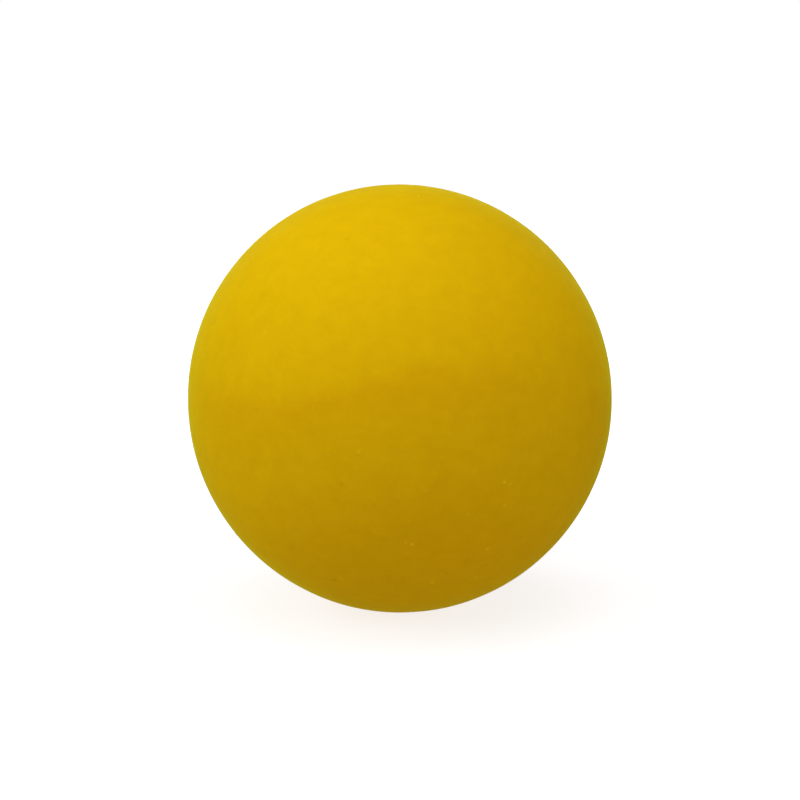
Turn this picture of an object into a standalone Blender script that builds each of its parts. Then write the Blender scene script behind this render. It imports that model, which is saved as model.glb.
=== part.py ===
"""A coated foam ball: a solid foam core inside a thin, bonded elastomer skin.

Metres, +Z up. The origin is the centre of the ball, -Y faces the viewer, and the breather hole
in the skin opens at the back, along +Y.
"""

import math

import bmesh
import bpy

# Driving dimensions, in metres.
BALL_DIAMETER = 0.070
SKIN_THICKNESS = 0.0008
# The bond between the foam and the skin, drawn as a gap so that the two stay separate solids.
BOND_GAP = 0.0003
# The needle that carries the core while it is coated leaves this hole, which lets the foam breathe.
BREATHER_DIAMETER = 0.0016

# Facets of both spheres. They share them, so the gap between the two is even all round.
FACETS_AROUND = 48
FACETS_POLE_TO_POLE = 24

# Sizes that follow from the driving dimensions.
BALL_RADIUS = BALL_DIAMETER / 2
CORE_RADIUS = BALL_RADIUS - SKIN_THICKNESS - BOND_GAP

# Turns a sphere's lower pole to the back of the ball.
POLE_TO_BACK = (math.pi / 2, 0, 0)

# Finishes: base colour (linear), roughness and metallic value.
FOAM_FINISH = {"colour": (0.86, 0.72, 0.36), "roughness": 0.95, "metallic": 0.0}
SKIN_FINISH = {"colour": (0.80, 0.47, 0.002), "roughness": 0.55, "metallic": 0.0}


def clear_scene():
    """Removes every object of the scene that the script starts in."""
    for obj in list(bpy.data.objects):
        bpy.data.objects.remove(obj, do_unlink=True)


def make_collection(name):
    """Returns a new collection, linked to the scene."""
    collection = bpy.data.collections.new(name)
    bpy.context.scene.collection.children.link(collection)
    return collection


def make_centre(collection):
    """Returns the empty at the centre of the ball, which carries its pieces."""
    centre = bpy.data.objects.new("ball_centre", None)
    collection.objects.link(centre)
    return centre


def make_material(name, finish):
    """Returns a Principled BSDF material with the given finish."""
    material = bpy.data.materials.new(name)
    material.use_nodes = True
    shader = material.node_tree.nodes["Principled BSDF"]
    shader.inputs["Base Color"].default_value = (*finish["colour"], 1.0)
    shader.inputs["Roughness"].default_value = finish["roughness"]
    shader.inputs["Metallic"].default_value = finish["metallic"]
    return material


def add_sphere(name, radius, material, centre, collection):
    """Adds a smooth-shaded sphere on the ball's centre, with a pole at the back of the ball."""
    bpy.ops.mesh.primitive_uv_sphere_add(
        segments=FACETS_AROUND, ring_count=FACETS_POLE_TO_POLE, radius=radius
    )
    sphere = bpy.context.object
    sphere.name = sphere.data.name = name
    sphere.rotation_euler = POLE_TO_BACK
    sphere.parent = centre
    sphere.data.materials.append(material)
    sphere.data.shade_smooth()
    for old in list(sphere.users_collection):
        old.objects.unlink(sphere)
    collection.objects.link(sphere)
    return sphere


def open_breather(mesh):
    """Cuts the pole off a sphere, which leaves the round breather hole in its surface."""
    surface = bmesh.new()
    surface.from_mesh(mesh)
    pole = min(surface.verts, key=lambda vert: vert.co.z)
    cut = bmesh.ops.bevel(
        surface, geom=[pole], offset=BREATHER_DIAMETER / 2, affect="VERTICES"
    )
    bmesh.ops.delete(surface, geom=cut["faces"], context="FACES")
    surface.to_mesh(mesh)
    surface.free()


def make_foam_core(centre, collection):
    """The solid foam ball that gives the part its bounce and its weight."""
    foam = make_material("core_foam", FOAM_FINISH)
    return add_sphere("foam_core", CORE_RADIUS, foam, centre, collection)


def make_outer_skin(centre, collection):
    """The coat over the foam: a shell of even thickness, open only at the breather hole."""
    coat = make_material("yellow_skin", SKIN_FINISH)
    skin = add_sphere("outer_skin", BALL_RADIUS, coat, centre, collection)
    open_breather(skin.data)
    wall = skin.modifiers.new("skin_wall", "SOLIDIFY")
    wall.thickness = SKIN_THICKNESS
    wall.offset = -1
    wall.use_even_offset = True
    return skin


def main():
    """Builds the ball from the inside out."""
    clear_scene()
    collection = make_collection("foam_ball")
    centre = make_centre(collection)
    make_foam_core(centre, collection)
    make_outer_skin(centre, collection)


main()
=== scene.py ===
"""Dresses the foam ball: a sprayed yellow coat, finely grained, over an open-cell foam core.

Everything is in metres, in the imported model's frame: the origin is the centre of the ball, +Z is
up, -Y faces the viewer and the breather hole opens at the back, along +Y.
"""

import logging
import math
import random
from contextlib import contextmanager
from dataclasses import dataclass, field
from enum import Enum
from typing import Callable, Iterator

import bpy
from mathutils import Matrix, Vector, noise
from mathutils.kdtree import KDTree


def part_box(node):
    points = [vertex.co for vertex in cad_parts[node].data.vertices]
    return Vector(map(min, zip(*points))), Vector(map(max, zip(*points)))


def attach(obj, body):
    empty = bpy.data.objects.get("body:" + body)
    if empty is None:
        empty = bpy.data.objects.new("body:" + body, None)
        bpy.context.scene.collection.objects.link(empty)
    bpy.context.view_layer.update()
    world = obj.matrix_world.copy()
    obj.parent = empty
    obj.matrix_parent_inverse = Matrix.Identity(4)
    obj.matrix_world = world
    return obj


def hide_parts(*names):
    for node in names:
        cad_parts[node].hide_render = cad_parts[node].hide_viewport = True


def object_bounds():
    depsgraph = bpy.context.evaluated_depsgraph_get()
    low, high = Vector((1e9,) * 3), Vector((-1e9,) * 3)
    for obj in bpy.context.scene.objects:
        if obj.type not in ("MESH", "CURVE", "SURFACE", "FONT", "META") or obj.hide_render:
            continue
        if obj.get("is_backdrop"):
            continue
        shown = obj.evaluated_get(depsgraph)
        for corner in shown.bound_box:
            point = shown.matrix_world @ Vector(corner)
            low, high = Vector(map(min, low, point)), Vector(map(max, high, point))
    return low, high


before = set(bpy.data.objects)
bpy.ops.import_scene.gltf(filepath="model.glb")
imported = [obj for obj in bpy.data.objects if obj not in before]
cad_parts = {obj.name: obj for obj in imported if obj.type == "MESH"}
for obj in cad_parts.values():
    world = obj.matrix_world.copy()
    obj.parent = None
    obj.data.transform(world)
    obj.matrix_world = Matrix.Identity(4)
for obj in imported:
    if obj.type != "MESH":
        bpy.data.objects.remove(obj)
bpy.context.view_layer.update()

BODY = "root"
MILLIMETRE = 0.001
BALL_CENTRE = (0.0, 0.0, 0.0)
WHITE = (1.0, 1.0, 1.0, 1.0)
# Turns the pole of a new ball to the back.
POLE_TO_BACK = (-math.pi / 2, 0.0, 0.0)
# How steeply the camera looks down on the ball.
VIEW_ELEVATION = math.radians(10.0)
# A clouds texture's number of layers, and the value that it varies about.
CLOUD_LAYERS = 1
CLOUD_MIDDLE = 0.5

log = logging.getLogger("foam_ball")

Colour = tuple[float, float, float]
Direction = tuple[float, float, float]
PlaceTest = Callable[[Vector], bool]
Socket = bpy.types.NodeSocket


class Node(Enum):
    """The CAD nodes that the dressed pieces stand for."""

    CORE = "foam_core"
    SKIN = "outer_skin"


class Slot(Enum):
    """The record's material slots."""

    CORE = "core_foam"
    SKIN = "yellow_skin"


class Fault(Enum):
    """Small faults that spraying leaves in a coat, with the way each one moves the surface."""

    NIB = 1.0
    PINHOLE = -1.0


# The weight of each vertex that a fault of each kind moves.
FaultWeights = dict[Fault, dict[int, float]]


def activate(piece: bpy.types.Object) -> None:
    """Makes one object the only selected and the active one.

    Args:
        piece: The object.
    """
    bpy.ops.object.select_all(action="DESELECT")
    piece.select_set(True)
    bpy.context.view_layer.objects.active = piece


@contextmanager
def editing(piece: bpy.types.Object) -> Iterator[None]:
    """Opens one piece in edit mode, and closes it again.

    Args:
        piece: The mesh object to edit.

    Yields:
        Nothing, while the piece is open.
    """
    activate(piece)
    bpy.ops.object.mode_set(mode="EDIT")
    bpy.ops.mesh.select_mode(type="VERT")
    yield
    bpy.ops.object.mode_set(mode="OBJECT")


def pick(piece: bpy.types.Object, wanted: PlaceTest) -> None:
    """Selects the vertices that pass a test, before their piece is opened in edit mode.

    Args:
        piece: The mesh object, in object mode.
        wanted: Says whether the vertex at a place is selected.
    """
    mesh = piece.data
    mesh.polygons.foreach_set("select", [False] * len(mesh.polygons))
    mesh.edges.foreach_set("select", [False] * len(mesh.edges))
    mesh.vertices.foreach_set("select", [wanted(vertex.co) for vertex in mesh.vertices])


def pick_open_edges() -> None:
    """Selects the edges of the holes of the piece that is open in edit mode."""
    bpy.ops.mesh.select_mode(type="EDGE")
    bpy.ops.mesh.select_all(action="DESELECT")
    bpy.ops.mesh.select_non_manifold()


def picked_span(piece: bpy.types.Object) -> float:
    """Returns how far what is selected in edit mode reaches from the axis through the back."""
    piece.update_from_editmode()
    return max(math.hypot(v.co.x, v.co.z) for v in piece.data.vertices if v.select)


def near_back(span: float) -> PlaceTest:
    """Returns a test for places within a span of the axis through the back of the ball."""
    return lambda place: place.y > 0.0 and math.hypot(place.x, place.z) < span


def extrude_edges(rise: float) -> None:
    """Extrudes the selected edges towards the back by a rise."""
    bpy.ops.mesh.extrude_edges_move(TRANSFORM_OT_translate={"value": (0.0, rise, 0.0)})


def apply_change(piece: bpy.types.Object, name: str, kind: str, **settings: object) -> None:
    """Adds a modifier to a piece and keeps its result.

    Args:
        piece: The mesh object to change.
        name: What the change is called.
        kind: The modifier's type.
        settings: Properties of the modifier.
    """
    activate(piece)
    change = piece.modifiers.new(name, kind)
    for key, value in settings.items():
        setattr(change, key, value)
    bpy.ops.object.modifier_apply(modifier=name)


def displace(
    piece: bpy.types.Object,
    name: str,
    height: float,
    texture: bpy.types.Texture | None = None,
    middle: float = 0.0,
    group: str = "",
) -> None:
    """Moves a piece's surface along its normals and keeps the result.

    Args:
        piece: The mesh object to move.
        name: What the change is called.
        height: How far the full strength of the texture or the group moves the surface.
        texture: A texture in the piece's own coordinates, or none for an even move.
        middle: The texture's value that moves nothing.
        group: A vertex group that limits and weighs the move.
    """
    apply_change(
        piece,
        name,
        "DISPLACE",
        texture=texture,
        texture_coords="LOCAL",
        direction="NORMAL",
        strength=height,
        mid_level=middle,
        vertex_group=group,
    )


def clouds(name: str, size: float) -> bpy.types.Texture:
    """Makes a soft noise texture.

    Args:
        name: The texture's name.
        size: How wide one lump of the noise is.

    Returns:
        The new texture.
    """
    texture = bpy.data.textures.new(name, "CLOUDS")
    texture.noise_scale = size
    texture.noise_depth = CLOUD_LAYERS
    texture.noise_basis = "ORIGINAL_PERLIN"
    return texture


def ease(share: float) -> float:
    """Holds a share between 0 and 1, and eases it in and out."""
    held = min(max(share, 0.0), 1.0)
    return held * held * (3.0 - 2.0 * held)


@dataclass(frozen=True)
class Roundness:
    """How finely a ball's surface is divided into triangles."""

    base_level: int
    cuts: int
    finer_cuts: int = 0

    def ball(self, name: str, radius: float, finer: PlaceTest | None = None) -> bpy.types.Object:
        """Adds a ball of even triangles with a vertex at its back.

        Args:
            name: The new object's name.
            radius: The ball's radius.
            finer: A test for the places that are divided once more, or none.

        Returns:
            The new object, at the origin and unturned.
        """
        bpy.ops.object.select_all(action="DESELECT")
        bpy.ops.mesh.primitive_ico_sphere_add(
            subdivisions=self.base_level, radius=radius, rotation=POLE_TO_BACK
        )
        ball = bpy.context.object
        ball.name = ball.data.name = name
        bpy.ops.object.transform_apply(location=False, rotation=True, scale=False)
        with editing(ball):
            bpy.ops.mesh.select_all(action="SELECT")
            bpy.ops.mesh.subdivide(number_cuts=self.cuts)
        self.round_off(ball, radius)
        if finer:
            pick(ball, finer)
            with editing(ball):
                bpy.ops.mesh.subdivide(number_cuts=self.finer_cuts)
            self.round_off(ball, radius)
        return ball

    def round_off(self, ball: bpy.types.Object, radius: float) -> None:
        """Casts a ball's vertices onto a true sphere."""
        apply_change(
            ball, "round_off", "CAST", factor=1.0, use_radius_as_size=False, size=radius
        )


@dataclass(frozen=True)
class Grain:
    """One noise pattern of a finish.

    Attributes:
        size: How wide one lump of the noise is.
        detail: How many finer layers it has.
        roughness: How strong the finer layers are.
        height: How far it stands out, where it is used as relief.
    """

    size: float
    detail: float
    roughness: float = 0.5
    height: float = 0.0


class Graph:
    """Adds and links the nodes of one node tree."""

    # Where a Mix node keeps the two colours that it mixes, and the mixed one.
    COLOUR_INPUTS = (6, 7)
    COLOUR_OUTPUT = 2

    def __init__(self, tree: bpy.types.NodeTree) -> None:
        """Keeps the tree to add to."""
        self.tree = tree

    def add(self, kind: str, **settings: object) -> bpy.types.Node:
        """Adds a node.

        Args:
            kind: The node's type.
            settings: Properties of the node, or values of its inputs by name, with spaces as _.

        Returns:
            The new node.
        """
        node = self.tree.nodes.new(kind)
        for key, value in settings.items():
            if key in node.bl_rna.properties:
                setattr(node, key, value)
            else:
                node.inputs[key.replace("_", " ")].default_value = value
        return node

    def link(self, source: Socket, target: Socket) -> None:
        """Links one output to one input."""
        self.tree.links.new(source, target)

    def place(self) -> Socket:
        """Returns a place on the object, in the object's own coordinates."""
        return self.add("ShaderNodeTexCoord").outputs["Object"]

    def noise(self, grain: Grain) -> Socket:
        """Adds noise to the object.

        Args:
            grain: What the noise is like.

        Returns:
            The noise's value, from 0 to 1.
        """
        texture = self.add(
            "ShaderNodeTexNoise",
            Scale=1.0 / grain.size,
            Detail=grain.detail,
            Roughness=grain.roughness,
        )
        self.link(self.place(), texture.inputs["Vector"])
        return texture.outputs["Fac"]

    def cells(self, size: float, smoothness: float) -> Socket:
        """Adds rounded cells to the object.

        Args:
            size: How wide one cell is.
            smoothness: How far the ridges between the cells are rounded, from 0 to 1.

        Returns:
            The height of the cells, 0 at their middles.
        """
        texture = self.add(
            "ShaderNodeTexVoronoi", feature="SMOOTH_F1", Scale=1.0 / size, Smoothness=smoothness
        )
        self.link(self.place(), texture.inputs["Vector"])
        return texture.outputs["Distance"]

    def away(self) -> Socket:
        """Measures places from the object's origin.

        Returns:
            How far a place lies from it.
        """
        length = self.add("ShaderNodeVectorMath", operation="LENGTH")
        self.link(self.place(), length.inputs[0])
        return length.outputs["Value"]

    def along(self, direction: Direction) -> Socket:
        """Measures places along a direction.

        Args:
            direction: The direction, one unit long.

        Returns:
            How far a place lies from the object's origin along it.
        """
        reach = self.add("ShaderNodeVectorMath", operation="DOT_PRODUCT")
        self.link(self.place(), reach.inputs[0])
        reach.inputs[1].default_value = direction
        return reach.outputs["Value"]

    def attribute(self, name: str) -> Socket:
        """Returns the value of one of the mesh's own attributes."""
        return self.add("ShaderNodeAttribute", attribute_name=name).outputs["Fac"]

    def maths(self, operation: str, first: Socket, second: Socket) -> Socket:
        """Works one value out of two.

        Args:
            operation: The Math node's operation.
            first: The first value.
            second: The second value.

        Returns:
            The result.
        """
        step = self.add("ShaderNodeMath", operation=operation)
        self.link(first, step.inputs[0])
        self.link(second, step.inputs[1])
        return step.outputs["Value"]

    def spread(
        self,
        value: Socket,
        low: float,
        high: float,
        from_low: float = 0.3,
        from_high: float = 0.7,
    ) -> Socket:
        """Maps one range of values to another, and holds it there.

        Args:
            value: The value to map.
            low: What from_low becomes.
            high: What from_high becomes.
            from_low: The start of the value's range, by default that of most noise.
            from_high: The end of the value's range.

        Returns:
            The mapped value.
        """
        span = self.add(
            "ShaderNodeMapRange",
            From_Min=from_low,
            From_Max=from_high,
            To_Min=low,
            To_Max=high,
        )
        self.link(value, span.inputs["Value"])
        return span.outputs["Result"]

    def tint(
        self, amount: Socket, first: Socket | Colour, second: Colour, blend: str = "MIX"
    ) -> Socket:
        """Mixes two colours.

        Args:
            amount: How much of the second colour the mix holds, from 0 to 1.
            first: The first colour, fixed or from another node.
            second: The second colour.
            blend: How the second colour is laid over the first.

        Returns:
            The mixed colour.
        """
        mix = self.add("ShaderNodeMix", data_type="RGBA", blend_type=blend)
        first_input, second_input = (mix.inputs[index] for index in self.COLOUR_INPUTS)
        if isinstance(first, Socket):
            self.link(first, first_input)
        else:
            first_input.default_value = (*first, 1.0)
        second_input.default_value = (*second, 1.0)
        self.link(amount, mix.inputs["Factor"])
        return mix.outputs[self.COLOUR_OUTPUT]

    def bump(self, height: Socket, depth: float, below: Socket | None = None) -> Socket:
        """Adds relief.

        Args:
            height: The relief's shape, from 0 to 1.
            depth: How far it reaches from its lowest to its highest point.
            below: The bent normal of the relief that it lies on, or none.

        Returns:
            The bent normal.
        """
        relief = self.add("ShaderNodeBump", Distance=depth, Strength=1.0)
        self.link(height, relief.inputs["Height"])
        if below:
            self.link(below, relief.inputs["Normal"])
        return relief.outputs["Normal"]


def new_material(name: str) -> tuple[bpy.types.Material, Graph, bpy.types.Node]:
    """Makes a material with nodes.

    Args:
        name: The material's name.

    Returns:
        The new material, its node graph and its Principled BSDF.
    """
    material = bpy.data.materials.new(name)
    material.use_nodes = True
    return material, Graph(material.node_tree), material.node_tree.nodes["Principled BSDF"]


@dataclass(frozen=True)
class CoatFinish:
    """The sprayed, elastic yellow coat: matt, finely grained, with painted reflection and painted
    shade in two close tones.
    """

    # Painted reflection and shade: the paler upper tone stands for light reflected above a line
    # round the middle, the deeper lower tone for shade below it.
    upper_painted_reflection: Colour = (0.821, 0.516, 0.002)
    lower_painted_shade: Colour = (0.782, 0.463, 0.002)
    # Painted warm light and shade: what the drift multiplies both tones by where it is deepest,
    # less green towards the lower right, and the way to that side.
    painted_warm_tint: Colour = (1.0, 0.878, 1.0)
    warm_tint_side: Direction = (0.74, 0.0, -0.67)
    warm_tint_reach: float = 35.0 * MILLIMETRE
    nib: Colour = (0.96, 0.62, 0.012)
    # Pinholes are darkened with painted shade.
    pinhole_shade: Colour = (0.60, 0.30, 0.001)
    mottle_shade: Colour = (0.94, 0.92, 0.92)
    mottle: Grain = Grain(3.0 * MILLIMETRE, detail=4.0, roughness=0.65)
    grain: Grain = Grain(0.55 * MILLIMETRE, detail=2.0, roughness=0.6, height=0.045 * MILLIMETRE)
    peel: Grain = Grain(1.8 * MILLIMETRE, detail=1.0, height=0.08 * MILLIMETRE)
    roughness: tuple[float, float] = (0.58, 0.66)
    specular: float = 0.004
    sheen: float = 0.38
    sheen_tint: Colour = (0.55, 1.0, 0.0)
    sheen_roughness: float = 0.30
    fault_attribute: str = "fault"
    # The mesh attribute that says where the painted reflection and the painted shade lie.
    tone_attribute: str = "painted_light_share"

    def material(self) -> bpy.types.Material:
        """Makes the coat's material.

        Returns:
            The new material.
        """
        material, graph, shader = new_material("yellow_coat")
        grain = graph.noise(self.grain)
        graph.link(self.colour(graph), shader.inputs["Base Color"])
        graph.link(graph.spread(grain, *self.roughness), shader.inputs["Roughness"])
        shader.inputs["Specular IOR Level"].default_value = self.specular
        shader.inputs["Sheen Weight"].default_value = self.sheen
        shader.inputs["Sheen Tint"].default_value = (*self.sheen_tint, 1.0)
        shader.inputs["Sheen Roughness"].default_value = self.sheen_roughness
        peel = graph.bump(graph.noise(self.peel), self.peel.height)
        graph.link(graph.bump(grain, self.grain.height, peel), shader.inputs["Normal"])
        return material

    def colour(self, graph: Graph) -> Socket:
        """Adds the coat's colour: two tones of painted reflection and shade, a painted warm tint
        that drifts to the lower right, a mottle, paler nibs and pinholes darkened with painted
        shade.

        Args:
            graph: The material's node graph.

        Returns:
            The colour.
        """
        reach = self.warm_tint_reach
        # Painted reflection and shade: the two tones, mixed by the noted attribute.
        painted_tones = graph.tint(graph.attribute(self.tone_attribute), self.lower_painted_shade, self.upper_painted_reflection)
        # Painted warm light and shade: the tones lose green towards the lower right.
        warm_tint_share = graph.spread(graph.along(self.warm_tint_side), 0.0, 1.0, -reach, reach)
        warm_tinted = graph.tint(warm_tint_share, painted_tones, self.painted_warm_tint, "MULTIPLY")
        mottle = graph.spread(graph.noise(self.mottle), 0.0, 1.0)
        coat = graph.tint(mottle, warm_tinted, self.mottle_shade, "MULTIPLY")
        fault = graph.attribute(self.fault_attribute)
        raised = graph.spread(fault, 0.0, 1.0, from_low=0.0, from_high=Fault.NIB.value)
        # Painted shade in the pinholes.
        pinhole_shade_share = graph.spread(fault, 0.0, 1.0, from_low=0.0, from_high=Fault.PINHOLE.value)
        return graph.tint(pinhole_shade_share, graph.tint(raised, coat, self.nib), self.pinhole_shade)


@dataclass(frozen=True)
class FoamFinish:
    """Soft open-cell foam, pale straw, darkened with painted shade in its cells' mouths, with
    finer pores between.
    """

    wall: Colour = (0.88, 0.75, 0.40)
    # Painted shade in the cells' mouths.
    mouth_shade: Colour = (0.60, 0.43, 0.15)
    fuzz_shade: Colour = (0.88, 0.85, 0.76)
    fuzz: Grain = Grain(0.9 * MILLIMETRE, detail=3.0, roughness=0.6)
    # Where in a cell's depth the painted shade of the mouth starts, and where it is full.
    mouth_shade_depths: tuple[float, float] = (0.55, 1.05)
    pore_size: float = 0.5 * MILLIMETRE
    pore_depth: float = 0.12 * MILLIMETRE
    pore_smoothness: float = 0.2
    roughness: tuple[float, float] = (0.88, 1.0)
    specular: float = 0.2
    depth_attribute: str = "cell_depth"

    def material(self) -> bpy.types.Material:
        """Makes the foam's material.

        Returns:
            The new material.
        """
        material, graph, shader = new_material("open_cell_foam")
        # Painted shade, deeper down each cell's mouth.
        depth = graph.spread(graph.attribute(self.depth_attribute), 0.0, 1.0, *self.mouth_shade_depths)
        fuzz = graph.noise(self.fuzz)
        foam = graph.tint(graph.spread(fuzz, 0.0, 1.0), self.wall, self.fuzz_shade, "MULTIPLY")
        graph.link(graph.tint(depth, foam, self.mouth_shade), shader.inputs["Base Color"])
        graph.link(graph.spread(fuzz, *self.roughness), shader.inputs["Roughness"])
        shader.inputs["Specular IOR Level"].default_value = self.specular
        pores = graph.cells(self.pore_size, self.pore_smoothness)
        graph.link(graph.bump(pores, self.pore_depth), shader.inputs["Normal"])
        return material


@dataclass(frozen=True)
class Mark:
    """One nib or pinhole: the place it has on a ball of the skin's radius, and its size."""

    fault: Fault
    place: Vector
    width: float
    strength: float


@dataclass(frozen=True)
class Tongue:
    """A tongue of painted reflection, in the coat's paler tone, that hangs below the line between
    the two tones.

    Attributes:
        turn: Where it hangs, as an angle from the front to the right.
        half_width: How far it spreads to each side, as an angle.
        depth: How far below the ball's middle it fades out.
        softness: How tall the stretch is over which it fades out.
    """

    turn: float
    half_width: float
    depth: float
    softness: float

    def share(self, turn: float, height: float) -> float:
        """Says how far a place on the ball is in the tongue.

        Args:
            turn: The place's angle from the front to the right.
            height: The place's height above the ball's middle.

        Returns:
            1 in the midst of the tongue, 0 well away from it.
        """
        beside = (turn - self.turn) / self.half_width
        hang = ease(0.5 + (height + self.depth) / self.softness)
        return math.exp(-(beside**2)) * hang


@dataclass
class OuterSkin:
    """The coat over the foam: a thin shell with the small faults that spraying leaves."""

    radius: float
    wall: float = 0.8 * MILLIMETRE
    breather_radius: float = 0.8 * MILLIMETRE
    lip_width: float = 0.45 * MILLIMETRE
    lip_height: float = 0.12 * MILLIMETRE
    # Inwards to the bore: the share of the lip's width that is left, and the rise in lip heights.
    lip_steps: tuple[tuple[float, float], ...] = ((0.6, 1.0), (0.15, 0.0), (0.0, -2.0))
    out_of_round: float = 0.0050
    long_axis_lean: float = math.radians(-6.3)
    lump_size: float = 14.0 * MILLIMETRE
    lump_height: float = 0.12 * MILLIMETRE
    wave_size: float = 3.2 * MILLIMETRE
    wave_height: float = 0.020 * MILLIMETRE
    fault_height: float = 0.06 * MILLIMETRE
    fault_width: float = 0.24 * MILLIMETRE
    # How many of its widths from its middle a fault still moves the skin.
    fault_reach: float = 3.0
    hidden_faults: int = 36
    hidden_kinds: tuple[Fault, ...] = (Fault.NIB, Fault.NIB, Fault.PINHOLE)
    hidden_widths: tuple[float, float] = (0.7, 1.1)
    hidden_strengths: tuple[float, float] = (0.4, 1.0)
    # Hidden faults lie behind this share of the radius, and this far from the breather's axis.
    hidden_behind: float = -0.3
    clear_of_breather: float = 4.0 * MILLIMETRE
    seed: int = 7
    # The soft line round the middle, above which the coat is a little paler with painted
    # reflection.
    tone_height: float = 2.2 * MILLIMETRE
    tone_wave: float = 2.4 * MILLIMETRE
    tone_waves_round: int = 3
    tone_wave_turn: float = math.radians(22.0)
    tone_ripple: float = 1.2 * MILLIMETRE
    tone_ripple_size: float = 4.0 * MILLIMETRE
    tone_softness: float = 5.0 * MILLIMETRE
    # The painted shade is deepest just below that line, and from there it settles in fading bands.
    band_share: float = 0.46
    band_pitch: float = 27.0 * MILLIMETRE
    band_fade: float = 36.0 * MILLIMETRE
    # Tongues of painted reflection that reach below the line.
    tongues: tuple[Tongue, ...] = (
        Tongue(
            turn=math.radians(47.0),
            half_width=math.radians(15.5),
            depth=19.0 * MILLIMETRE,
            softness=11.0 * MILLIMETRE,
        ),
        Tongue(
            turn=math.radians(-74.0),
            half_width=math.radians(14.0),
            depth=7.0 * MILLIMETRE,
            softness=10.0 * MILLIMETRE,
        ),
    )
    # Millimetres across and up from the ball's centre, as the camera sees them, and strength.
    nibs_in_view: tuple[tuple[float, float, float], ...] = (
        (1.9, -22.2, 1.0),
        (16.0, -12.7, 0.9),
        (13.6, -23.2, 0.8),
        (5.1, -28.6, 0.8),
        (11.9, -28.0, 0.7),
        (-6.2, -8.0, 0.6),
        (16.1, -16.3, 0.6),
        (-20.8, 9.9, 0.5),
        (0.9, -21.9, 0.5),
        (16.9, -12.9, 0.5),
        (-9.3, -28.0, 0.5),
        (4.0, -13.9, 0.4),
        (10.5, -17.6, 0.4),
        (11.3, -10.9, 0.4),
    )
    pinholes_in_view: tuple[tuple[float, float, float], ...] = (
        (-10.3, -28.4, 1.0),
        (1.8, -32.0, 0.8),
        (13.6, -25.9, 0.6),
        (14.0, -28.4, 0.6),
        (-8.1, 24.5, 0.5),
        (7.3, -27.0, 0.5),
        (-8.8, -12.9, 0.5),
    )
    mesh: Roundness = Roundness(base_level=3, cuts=19, finer_cuts=4)
    # How many of its radii round the breather's axis the mesh is finer.
    fine_round_breather: float = 3.0
    # Segments and rings of the inner face of the shell.
    inner_mesh: tuple[int, int] = (64, 32)
    crease_angle: float = math.radians(50.0)
    finish: CoatFinish = field(default_factory=CoatFinish)

    def build(self) -> bpy.types.Object:
        """Models the skin, dresses it and sets it on its body.

        Returns:
            The finished piece.
        """
        marks = [*self.marks_in_view(), *self.hidden_marks()]
        skin = self.mesh.ball("ball_skin", self.radius, self.finer_places(marks))
        weights = self.mark_weights(skin, marks)
        self.note_painted_light(skin)
        self.draw_out_of_round(skin)
        lumps = clouds("skin_lumps", self.lump_size)
        waves = clouds("skin_waves", self.wave_size)
        displace(skin, "lumps", self.lump_height, lumps, CLOUD_MIDDLE)
        displace(skin, "waves", self.wave_height, waves, CLOUD_MIDDLE)
        self.raise_marks(skin, weights)
        self.open_breather(skin)
        self.line(skin)
        self.dress(skin)
        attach(skin, BODY)
        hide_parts(Node.SKIN.value)
        return skin

    def marks_in_view(self) -> Iterator[Mark]:
        """Places the nibs and pinholes on the side that the camera sees.

        Yields:
            Each mark.
        """
        turn = Matrix.Rotation(-VIEW_ELEVATION, 3, "X")
        seen = ((Fault.NIB, self.nibs_in_view), (Fault.PINHOLE, self.pinholes_in_view))
        for fault, places in seen:
            for across, up, strength in places:
                flat = Vector((across, 0.0, up)) * MILLIMETRE
                depth = math.sqrt(self.radius**2 - flat.length_squared)
                place = turn @ (flat - Vector((0.0, depth, 0.0)))
                yield Mark(fault, place, self.fault_width, strength)

    def hidden_marks(self) -> Iterator[Mark]:
        """Draws nibs and pinholes at seeded places on the sides and the back.

        Yields:
            Each mark.
        """
        draw = random.Random(self.seed)
        by_breather = near_back(self.clear_of_breather)
        left = self.hidden_faults
        while left:
            place = Vector([draw.gauss(0.0, 1.0) for _ in range(3)]).normalized() * self.radius
            fault = draw.choice(self.hidden_kinds)
            width = self.fault_width * draw.uniform(*self.hidden_widths)
            strength = draw.uniform(*self.hidden_strengths)
            if place.y > self.hidden_behind * self.radius and not by_breather(place):
                left -= 1
                yield Mark(fault, place, width, strength)

    def finer_places(self, marks: list[Mark]) -> PlaceTest:
        """Finds the places that need small triangles.

        Args:
            marks: The skin's nibs and pinholes.

        Returns:
            A test for places by a mark or by the breather.
        """
        tree = KDTree(len(marks))
        for index, mark in enumerate(marks):
            tree.insert(mark.place, index)
        tree.balance()
        reach = self.fault_reach * self.fault_width
        by_breather = near_back(self.fine_round_breather * self.breather_radius)
        return lambda place: by_breather(place) or tree.find(place)[2] < reach

    def mark_weights(self, skin: bpy.types.Object, marks: list[Mark]) -> FaultWeights:
        """Weighs the vertices round each mark, on the skin while it is still a true ball.

        Args:
            skin: The ball.
            marks: Its nibs and pinholes.

        Returns:
            The weight of each vertex that a fault of each kind moves.
        """
        tree = KDTree(len(skin.data.vertices))
        for vertex in skin.data.vertices:
            tree.insert(vertex.co, vertex.index)
        tree.balance()
        weights: FaultWeights = {fault: {} for fault in Fault}
        for mark in marks:
            for _, index, away in tree.find_range(mark.place, self.fault_reach * mark.width):
                bell = mark.strength * math.exp(-((away / mark.width) ** 2))
                weights[mark.fault][index] = max(bell, weights[mark.fault].get(index, 0.0))
        return weights

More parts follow.
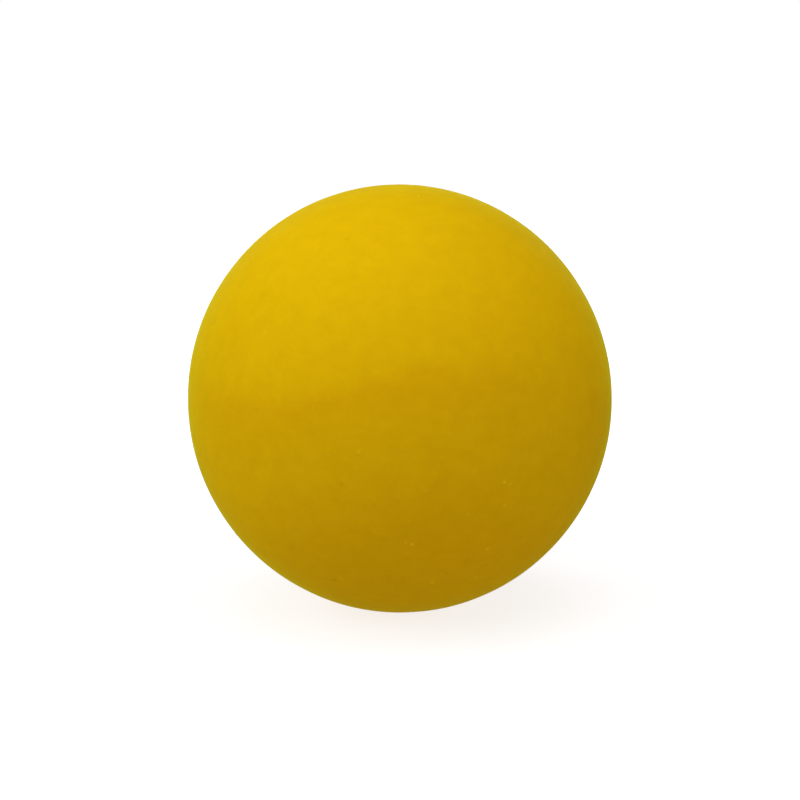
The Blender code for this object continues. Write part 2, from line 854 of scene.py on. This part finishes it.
    def note_painted_light(self, skin: bpy.types.Object) -> None:
        """Notes for the finish where the coat carries painted reflection, the paler part, and
        painted shade, the deeper part.

        Args:
            skin: The skin, while it is still a true ball.
        """
        noted = skin.data.attributes.new(self.finish.tone_attribute, "FLOAT", "POINT")
        upright = Matrix.Rotation(VIEW_ELEVATION, 3, "X")
        noted.data.foreach_set("value", [self.tone(upright @ v.co) for v in skin.data.vertices])

    def tone(self, place: Vector) -> float:
        """Says how far a place on the ball is in the paler part of the coat, where the reflection
        is painted.

        Args:
            place: The place, with +Z up as the camera sees it.

        Returns:
            1 above the line between the two tones, in the painted reflection, and nearest to 0 in
            the band of painted shade just below it.
        """
        turn = math.atan2(place.x, -place.y)
        wave = math.cos(self.tone_waves_round * (turn - self.tone_wave_turn))
        ripple = noise.noise(place / self.tone_ripple_size)
        line = self.tone_height + self.tone_wave * wave + self.tone_ripple * ripple
        # Painted reflection above the line, painted shade in fading bands below it, lifted again
        # in the tongues.
        paler = ease(0.5 + (place.z - line) / self.tone_softness)
        below = max(line - place.z, 0.0)
        swing = math.cos(math.tau * below / self.band_pitch) * math.exp(-below / self.band_fade)
        deeper = (1.0 - paler) * (1.0 - self.band_share * (1.0 - swing))
        for tongue in self.tongues:
            deeper *= 1.0 - tongue.share(turn, place.z)
        return 1.0 - deeper

    def draw_out_of_round(self, skin: bpy.types.Object) -> None:
        """Stretches the ball a little along an axis that leans from upright.

        Args:
            skin: The ball.
        """
        lean = self.long_axis_lean
        stretch = (1.0 - self.out_of_round, 1.0, 1.0 + self.out_of_round)
        with editing(skin):
            bpy.ops.mesh.select_all(action="SELECT")
            bpy.ops.transform.rotate(value=lean, orient_axis="Y", center_override=BALL_CENTRE)
            bpy.ops.transform.resize(value=stretch, center_override=BALL_CENTRE)
            bpy.ops.transform.rotate(value=-lean, orient_axis="Y", center_override=BALL_CENTRE)

    def raise_marks(self, skin: bpy.types.Object, weights: FaultWeights) -> None:
        """Raises the nibs, sinks the pinholes and notes both for the finish.

        Args:
            skin: The skin, with its vertices in the order that the weights were made for.
            weights: The weight of each vertex that a fault of each kind moves.
        """
        noted = skin.data.attributes.new(self.finish.fault_attribute, "FLOAT", "POINT")
        for fault, shares in weights.items():
            for index, share in shares.items():
                noted.data[index].value = share * fault.value
        for fault, shares in weights.items():
            group = skin.vertex_groups.new(name=fault.name)
            for index, share in shares.items():
                group.add([index], share, "REPLACE")
            displace(skin, fault.name, self.fault_height * fault.value, group=fault.name)
        bpy.ops.object.vertex_group_remove(all=True)

    def open_breather(self, skin: bpy.types.Object) -> None:
        """Opens the breather hole at the back, with a soft raised lip round it.

        Args:
            skin: The closed skin.
        """
        pick(skin, near_back(self.breather_radius + self.lip_width))
        with editing(skin):
            bpy.ops.mesh.delete(type="VERT")
            pick_open_edges()
            bpy.ops.transform.tosphere(value=1.0)
            width = picked_span(skin)
            for share, rise in self.lip_steps:
                target = self.breather_radius + share * self.lip_width
                extrude_edges(rise * self.lip_height)
                bpy.ops.transform.resize(value=(target / width, 1.0, target / width))
                width = target
            extrude_edges(-self.wall)

    def line(self, skin: bpy.types.Object) -> None:
        """Adds the inner face of the shell and joins it to the breather's bore.

        Args:
            skin: The outer face, with its bore open.
        """
        segments, rings = self.inner_mesh
        bpy.ops.object.select_all(action="DESELECT")
        bpy.ops.mesh.primitive_uv_sphere_add(
            segments=segments,
            ring_count=rings,
            radius=self.radius - self.wall,
            rotation=POLE_TO_BACK,
        )
        inner = bpy.context.object
        bpy.ops.object.transform_apply(location=False, rotation=True, scale=False)
        pick(inner, near_back(self.breather_radius))
        with editing(inner):
            bpy.ops.mesh.delete(type="VERT")
            bpy.ops.mesh.select_all(action="SELECT")
            bpy.ops.mesh.flip_normals()
        activate(skin)
        inner.select_set(True)
        bpy.ops.object.join()
        with editing(skin):
            pick_open_edges()
            bpy.ops.mesh.bridge_edge_loops()
            bpy.ops.mesh.select_all(action="SELECT")
            bpy.ops.mesh.quads_convert_to_tris()

    def dress(self, skin: bpy.types.Object) -> None:
        """Shades the skin smooth and gives it its finish.

        Args:
            skin: The whole shell.
        """
        activate(skin)
        bpy.ops.object.shade_smooth_by_angle(angle=self.crease_angle)
        skin.data.materials.clear()
        skin.data.materials.append(self.finish.material())


@dataclass
class FoamCore:
    """The solid foam ball inside, with the open mouths of its cells on its surface."""

    radius: float
    cell_size: float = 1.9 * MILLIMETRE
    cell_depth: float = 0.6 * MILLIMETRE
    # The noise's value at the highest ridges between the cells, which reach the core's radius.
    ridge_level: float = 1.1
    fill: float = 1.0
    mesh: Roundness = Roundness(base_level=3, cuts=22)
    finish: FoamFinish = field(default_factory=FoamFinish)

    def build(self) -> bpy.types.Object:
        """Models the core, dresses it and sets it on its body.

        Returns:
            The finished piece.
        """
        core = self.mesh.ball("ball_core", self.radius)
        cells = bpy.data.textures.new("foam_cells", "VORONOI")
        cells.noise_scale = self.cell_size
        cells.distance_metric = "DISTANCE"
        displace(core, "cell_mouths", self.cell_depth, cells, self.ridge_level)
        self.note_depths(core)
        activate(core)
        bpy.ops.object.shade_smooth()
        core.data.materials.append(self.finish.material())
        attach(core, BODY)
        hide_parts(Node.CORE.value)
        return core

    def note_depths(self, core: bpy.types.Object) -> None:
        """Notes for the finish how far each place lies down its cell's mouth, for the painted
        shade there.

        Args:
            core: The core, with its cells sunk.
        """
        noted = core.data.attributes.new(self.finish.depth_attribute, "FLOAT", "POINT")
        depths = [(self.radius - v.co.length) / self.cell_depth for v in core.data.vertices]
        noted.data.foreach_set("value", depths)


@dataclass(frozen=True)
class PhotoCamera:
    """The camera that framed the ball, from the ball's place and size in an 800 pixel square."""

    ball_radius: float
    frame_pixels: float = 800.0
    ball_radius_pixels: float = 213.1
    ball_centre_pixels: tuple[float, float] = (399.8, 398.5)
    lens: float = 100.0
    sensor: float = 36.0
    clip_start: float = 0.01
    elevation: float = VIEW_ELEVATION

    def build(self) -> bpy.types.Object:
        """Makes the camera and hands it to the scene.

        Returns:
            The camera's object.
        """
        data = bpy.data.cameras.new("photo_camera")
        data.lens = self.lens
        data.sensor_width = self.sensor
        across, down = self.ball_centre_pixels
        data.shift_x = 0.5 - across / self.frame_pixels
        data.shift_y = down / self.frame_pixels - 0.5
        data.clip_start = self.clip_start
        pixels_per_slope = self.frame_pixels * self.lens / self.sensor
        half_angle = math.atan(self.ball_radius_pixels / pixels_per_slope)
        distance = self.ball_radius / math.sin(half_angle)
        towards = Vector((0.0, -math.cos(self.elevation), math.sin(self.elevation)))
        camera = bpy.data.objects.new("photo_camera", data)
        camera.location = towards * distance
        camera.rotation_euler = (math.pi / 2 - self.elevation, 0.0, 0.0)
        bpy.context.scene.collection.objects.link(camera)
        bpy.context.scene.camera = camera
        return camera


@dataclass(frozen=True)
class LightPanel:
    """A flat, diffused studio lamp that faces the ball.

    Attributes:
        name: The lamp's name.
        angles: Its azimuth from the front, to the right, and its elevation, in degrees.
        watts: Its power.
        size: Its width and height.
        distance: How far it stands from the ball's centre.
    """

    name: str
    angles: tuple[float, float]
    watts: float
    size: tuple[float, float]
    distance: float = 0.7

    def build(self) -> bpy.types.Object:
        """Makes the lamp.

        Returns:
            The lamp's object.
        """
        data = bpy.data.lights.new(self.name, "AREA")
        data.shape = "RECTANGLE"
        data.size, data.size_y = self.size
        data.energy = self.watts
        turn, rise = (math.radians(angle) for angle in self.angles)
        level = Vector((math.sin(turn), -math.cos(turn), 0.0)) * math.cos(rise)
        towards = level + Vector((0.0, 0.0, math.sin(rise)))
        lamp = bpy.data.objects.new(self.name, data)
        lamp.location = towards * self.distance
        lamp.rotation_euler = towards.to_track_quat("Z", "Y").to_euler()
        bpy.context.scene.collection.objects.link(lamp)
        return lamp


def seen_rays(graph: Graph) -> Socket:
    """Tells the rays that show a surface from those that light it.

    Args:
        graph: The node graph to add to.

    Returns:
        1 for camera, glossy and transmitted rays, and 0 for others.
    """
    path = graph.add("ShaderNodeLightPath")
    seen = graph.maths("MAXIMUM", path.outputs["Is Camera Ray"], path.outputs["Is Glossy Ray"])
    return graph.maths("MAXIMUM", seen, path.outputs["Is Transmission Ray"])


@dataclass(frozen=True)
class FloorFinish:
    """A white, faintly lit floor that keeps the ball's shadow and fades into the white behind."""

    albedo: Colour = (0.36, 0.36, 0.36)
    roughness: float = 0.9
    # The glow that shows, near the ball and far from it, and where those are.
    glow_near: float = 0.79
    glow_far: float = 1.0
    near: float = 0.06
    far: float = 0.22
    # The light that the floor gives the ball, from under it and round it, and where that changes.
    fill_under: float = 0.33
    fill_round: float = 0.215
    fill_reach: tuple[float, float] = (0.010, 0.045)

    def material(self) -> bpy.types.Material:
        """Makes the floor's material.

        Returns:
            The new material.
        """
        material, graph, shader = new_material("white_floor")
        shader.inputs["Base Color"].default_value = (*self.albedo, 1.0)
        shader.inputs["Roughness"].default_value = self.roughness
        shader.inputs["Specular IOR Level"].default_value = 0.0
        shader.inputs["Emission Color"].default_value = WHITE
        away = graph.away()
        glow = graph.spread(away, self.glow_near, self.glow_far, self.near, self.far)
        shown = graph.maths("MULTIPLY", seen_rays(graph), glow)
        fill = graph.spread(away, self.fill_under, self.fill_round, *self.fill_reach)
        lit = graph.maths("MAXIMUM", shown, fill)
        graph.link(lit, shader.inputs["Emission Strength"])
        return material


@dataclass
class Studio:
    """The plain white set: a floor, white surroundings and soft light panels."""

    floor_height: float
    floor_width: float = 6.0
    finish: FloorFinish = field(default_factory=FloorFinish)
    panels: tuple[LightPanel, ...] = (
        LightPanel("ceiling_front", (5.0, 62.0), watts=1.83, size=(1.3, 0.8), distance=0.75),
        LightPanel("ceiling", (0.0, 89.0), watts=2.6, size=(0.7, 0.7)),
        LightPanel("left_wall", (-75.0, 28.0), watts=2.45, size=(1.0, 0.5)),
        LightPanel("right_wall", (62.0, 10.0), watts=0.95, size=(0.8, 0.5)),
        LightPanel("front", (0.0, 30.0), watts=0.75, size=(0.9, 0.4)),
        LightPanel("back", (180.0, 12.0), watts=1.6, size=(0.9, 0.4)),
    )

    def build(self) -> list[bpy.types.Object]:
        """Makes the floor, the light panels and the white surroundings.

        Returns:
            The floor and the panels.
        """
        self.light_surroundings()
        return [self.lay_floor(), *(panel.build() for panel in self.panels)]

    def lay_floor(self) -> bpy.types.Object:
        """Lays the floor under the ball and marks it as stage.

        Returns:
            The floor.
        """
        bpy.ops.object.select_all(action="DESELECT")
        bpy.ops.mesh.primitive_plane_add(
            size=self.floor_width, location=(0.0, 0.0, self.floor_height)
        )
        floor = bpy.context.object
        floor.name = floor.data.name = "white_floor"
        floor.data.materials.append(self.finish.material())
        floor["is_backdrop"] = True
        return floor

    def light_surroundings(self) -> None:
        """Surrounds the set with white that shows but adds no light."""
        world = bpy.data.worlds.new("white_studio")
        world.use_nodes = True
        graph = Graph(world.node_tree)
        sky = world.node_tree.nodes["Background"]
        sky.inputs["Color"].default_value = WHITE
        graph.link(seen_rays(graph), sky.inputs["Strength"])
        bpy.context.scene.world = world


def cad_radius(node: Node) -> float:
    """Returns the radius of one of the CAD model's balls."""
    low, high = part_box(node.value)
    return (high.x - low.x) / 2


def main() -> None:
    """Builds the ball from the inside out, then its set, and reports each piece."""
    logging.basicConfig(level=logging.INFO, format="%(name)s: %(message)s")
    bpy.context.scene.view_settings.view_transform = "Standard"
    for part in (FoamCore(cad_radius(Node.CORE)), OuterSkin(cad_radius(Node.SKIN))):
        piece = part.build()
        log.info("%s has %d faces", piece.name, len(piece.data.polygons))
    PhotoCamera(cad_radius(Node.SKIN)).build()
    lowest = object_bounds()[0].z
    for thing in Studio(floor_height=lowest).build():
        log.info("%s is in place", thing.name)


if __name__ == "__main__":
    main()
